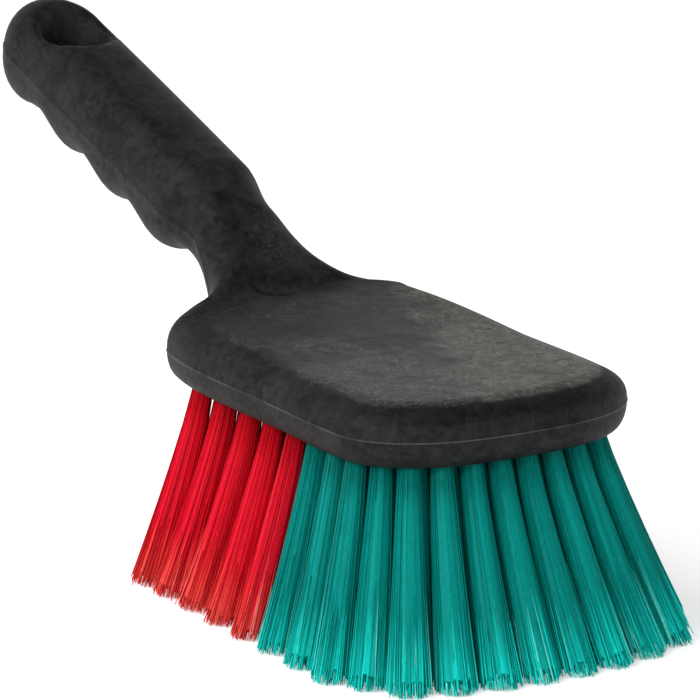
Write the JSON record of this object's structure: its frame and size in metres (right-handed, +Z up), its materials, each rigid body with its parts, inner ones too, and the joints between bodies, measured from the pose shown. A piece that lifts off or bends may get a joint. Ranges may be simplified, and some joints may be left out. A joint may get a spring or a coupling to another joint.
{
  "type": "scrub brush",
  "caption": "Short-handled wash brush: a moulded block and handle with finger grooves and a hanging hole, and rows of flared bristle tufts in two colours.",
  "frame": {"origin": "bottom centre of the bounding box, on the level of the bristle tips", "axes": "+X towards the brush's front edge, away from the handle; +Z up, from the bristle tips to the block; the handle runs back along -X and climbs"},
  "size_m": [0.2946, 0.1112, 0.1306],
  "materials": {
    "black_moulding": "matt black moulded plastic with faint swirls",
    "red_bristle": "satin polyester filament",
    "green_bristle": "satin polyester filament",
    "anchor_steel": "drawn stainless wire"
  },
  "bodies": {
    "root": {"block_and_handle": "black_moulding", "red_tuft_row_01": "red_bristle", "red_tuft_row_02": "red_bristle", "red_tuft_row_03": "red_bristle", "red_tuft_row_04": "red_bristle", "red_tuft_row_05": "red_bristle", "red_tuft_row_06": "red_bristle", "red_tuft_row_07": "red_bristle", "red_tuft_row_08": "red_bristle", "red_tuft_row_09": "red_bristle", "green_tuft_row_10": "green_bristle", "green_tuft_row_11": "green_bristle", "green_tuft_row_12": "green_bristle", "green_tuft_row_13": "green_bristle", "green_tuft_row_14": "green_bristle", "green_tuft_row_15": "green_bristle", "green_tuft_row_16": "green_bristle", "green_tuft_row_17": "green_bristle", "anchor_wire_row_01": "anchor_steel", "anchor_wire_row_02": "anchor_steel", "anchor_wire_row_03": "anchor_steel", "anchor_wire_row_04": "anchor_steel", "anchor_wire_row_05": "anchor_steel", "anchor_wire_row_06": "anchor_steel", "anchor_wire_row_07": "anchor_steel", "anchor_wire_row_08": "anchor_steel", "anchor_wire_row_09": "anchor_steel", "anchor_wire_row_10": "anchor_steel", "anchor_wire_row_11": "anchor_steel", "anchor_wire_row_12": "anchor_steel", "anchor_wire_row_13": "anchor_steel", "anchor_wire_row_14": "anchor_steel", "anchor_wire_row_15": "anchor_steel", "anchor_wire_row_16": "anchor_steel", "anchor_wire_row_17": "anchor_steel"}
  },
  "joints": []
}
